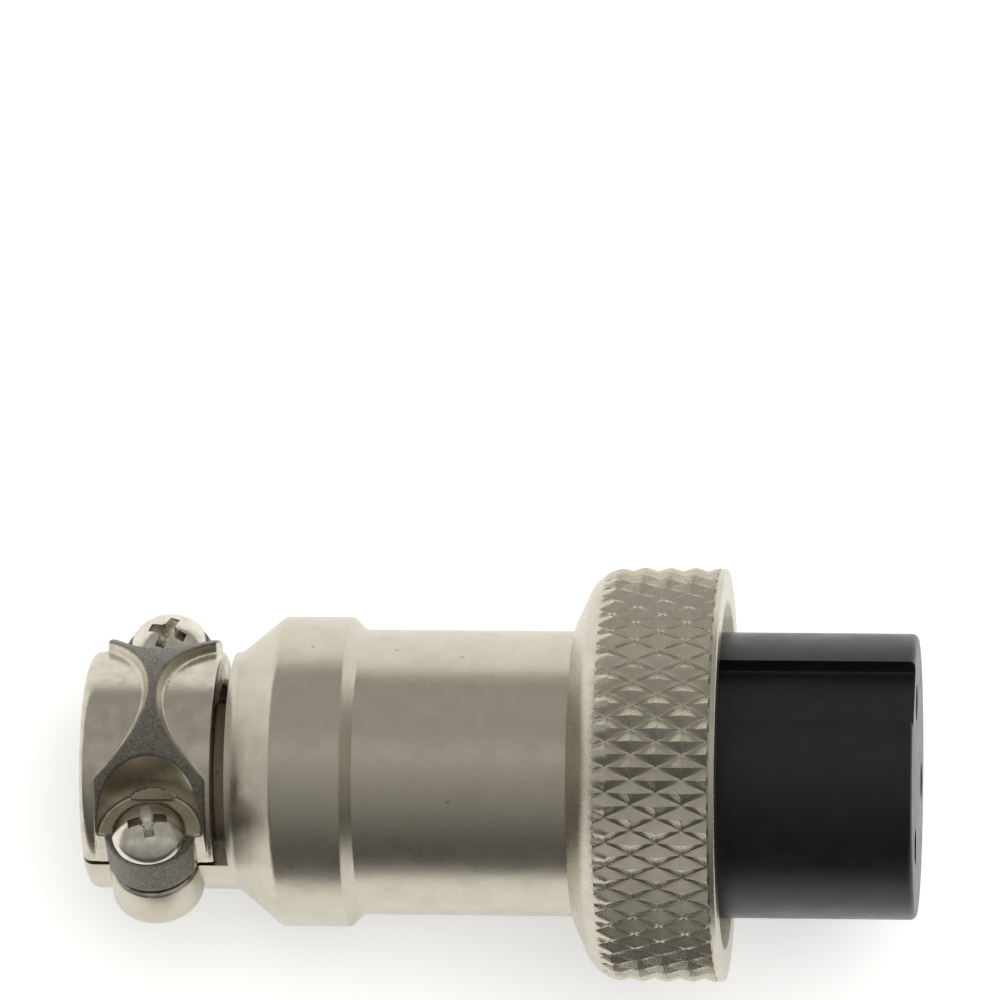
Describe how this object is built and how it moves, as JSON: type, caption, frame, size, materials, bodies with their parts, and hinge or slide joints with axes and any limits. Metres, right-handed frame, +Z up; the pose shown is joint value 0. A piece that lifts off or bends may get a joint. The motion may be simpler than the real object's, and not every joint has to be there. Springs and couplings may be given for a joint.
{
  "type": "circular cable plug connector",
  "caption": "Round cable plug with a knurled coupling ring, a metal back shell with a screwed cable clamp, and a keyed black insert that holds socket contacts.",
  "frame": {"origin": "on the table, under the middle of the plug's length and width, as it lies at rest", "axes": "+X towards the mating face, with the plug's own axis raised 8.4 degrees from it; +Y to the left seen from the cable end; +Z up"},
  "size_m": [0.0394, 0.019, 0.0193],
  "materials": {
    "shell_plating": "satin",
    "saddle_plating": "satin",
    "nut_plating": "polished",
    "sleeve_plating": "satin",
    "screw_steel": "polished",
    "insert_plastic": "gloss",
    "contact_plating": "polished"
  },
  "bodies": {
    "plug": {"back_shell": "shell_plating", "front_sleeve": "sleeve_plating", "lock_screw": "screw_steel", "insulator": "insert_plastic", "contact_1": "contact_plating", "contact_2": "contact_plating", "contact_3": "contact_plating"},
    "nut": {"coupling_nut": "nut_plating"},
    "clamp": {"clamp_saddle": "saddle_plating", "clamp_screws": "screw_steel"}
  },
  "joints": [
    {"name": "nut_spin", "type": "hinge", "parent": "plug", "child": "nut", "pos_m": [0.00667, 0, 0.00951], "axis": [0.9892, 0, 0.1467], "continuous": true},
    {"name": "clamp_slide", "type": "slide", "parent": "plug", "child": "clamp", "axis": [-0.113, 0.6376, 0.762], "range_m": [0, 0.0015]}
  ]
}
